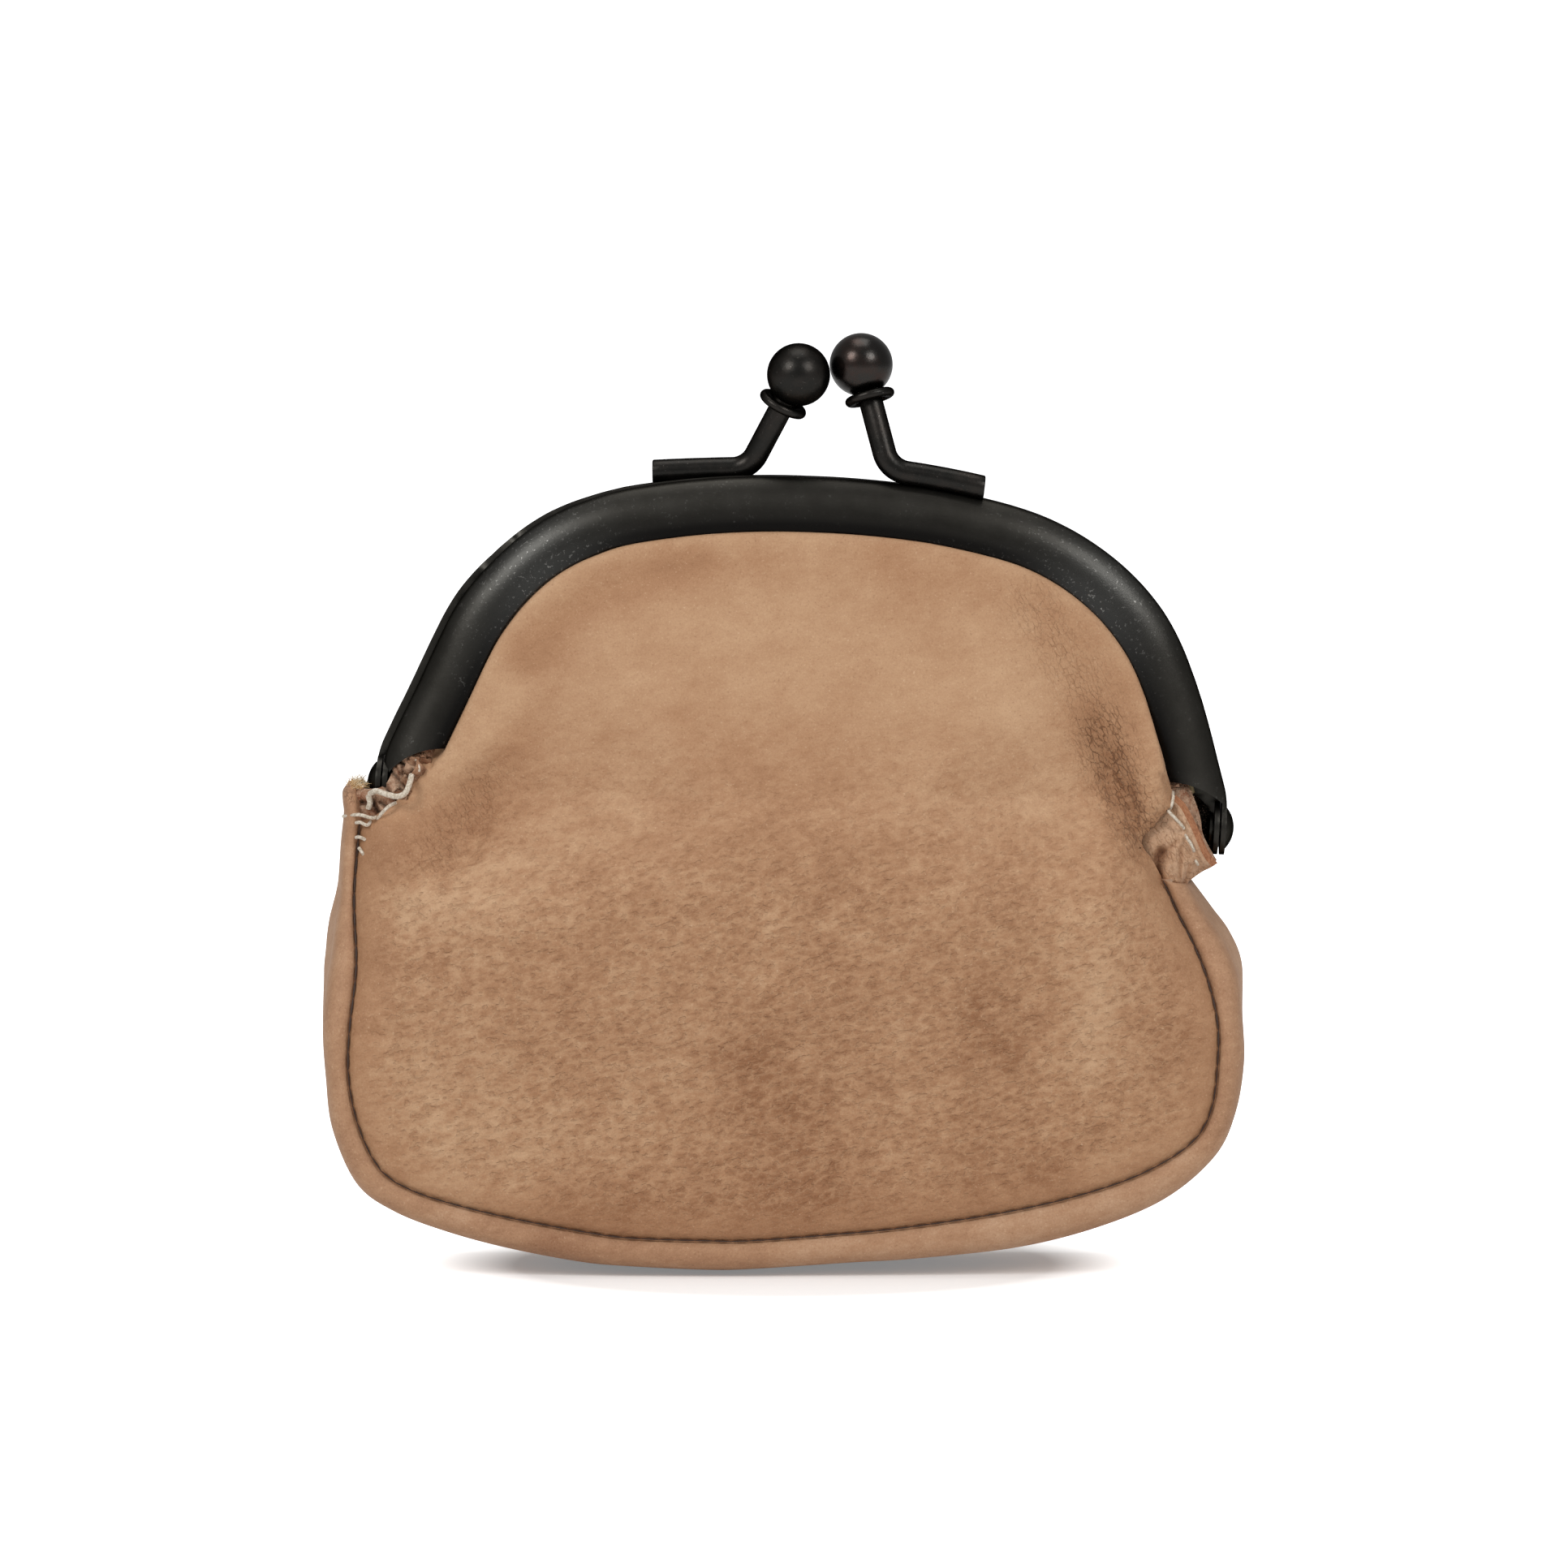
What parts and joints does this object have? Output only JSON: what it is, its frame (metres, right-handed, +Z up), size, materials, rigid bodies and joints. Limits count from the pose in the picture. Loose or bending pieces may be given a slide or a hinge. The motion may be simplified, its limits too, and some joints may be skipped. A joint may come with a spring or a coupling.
{
  "type": "kiss lock coin purse",
  "caption": "Small leather coin purse with a gusset and an arched channel frame that hinges open at its ends and closes with crossing ball knobs.",
  "frame": {"origin": "on the resting surface, under the middle of the purse's box", "axes": "+Z up, +X to the right seen from the front, +Y from the front panel to the back panel"},
  "size_m": [0.1, 0.028, 0.1013],
  "materials": {
    "black_metal": "satin black, worn along edges and shoulders",
    "knob_metal": "satin black, polished by handling",
    "leather": "tan, pebbled and creased, matte",
    "gusset_leather": "tan, smooth with fine cross lines",
    "twine": "twisted paper cord",
    "thread": "natural linen thread"
  },
  "bodies": {
    "pouch": {"gusset": "gusset_leather", "front_panel": "leather", "back_panel": "leather"},
    "front_half": {"front_frame": "black_metal", "front_stem": "black_metal", "front_ball": "knob_metal", "front_collar": "knob_metal", "front_twine": "twine", "front_flap": "leather", "rivet_right": "black_metal"},
    "back_half": {"back_frame": "black_metal", "back_stem": "black_metal", "back_ball": "knob_metal", "back_collar": "knob_metal", "back_twine": "twine", "back_flap": "leather", "rivet_left": "black_metal"}
  },
  "joints": [
    {"name": "front_open", "type": "hinge", "parent": "pouch", "child": "front_half", "pos_m": [0.0018, 0, 0.0502], "axis": [0.9985, 0, -0.0541], "range_deg": [0, 45]},
    {"name": "back_open", "type": "hinge", "parent": "pouch", "child": "back_half", "pos_m": [0.0018, 0, 0.0502], "axis": [-0.9985, 0, 0.0541], "range_deg": [0, 45]}
  ],
  "couplings": [
    {"joint": "back_open", "follows": "front_open", "ratio": 1}
  ]
}
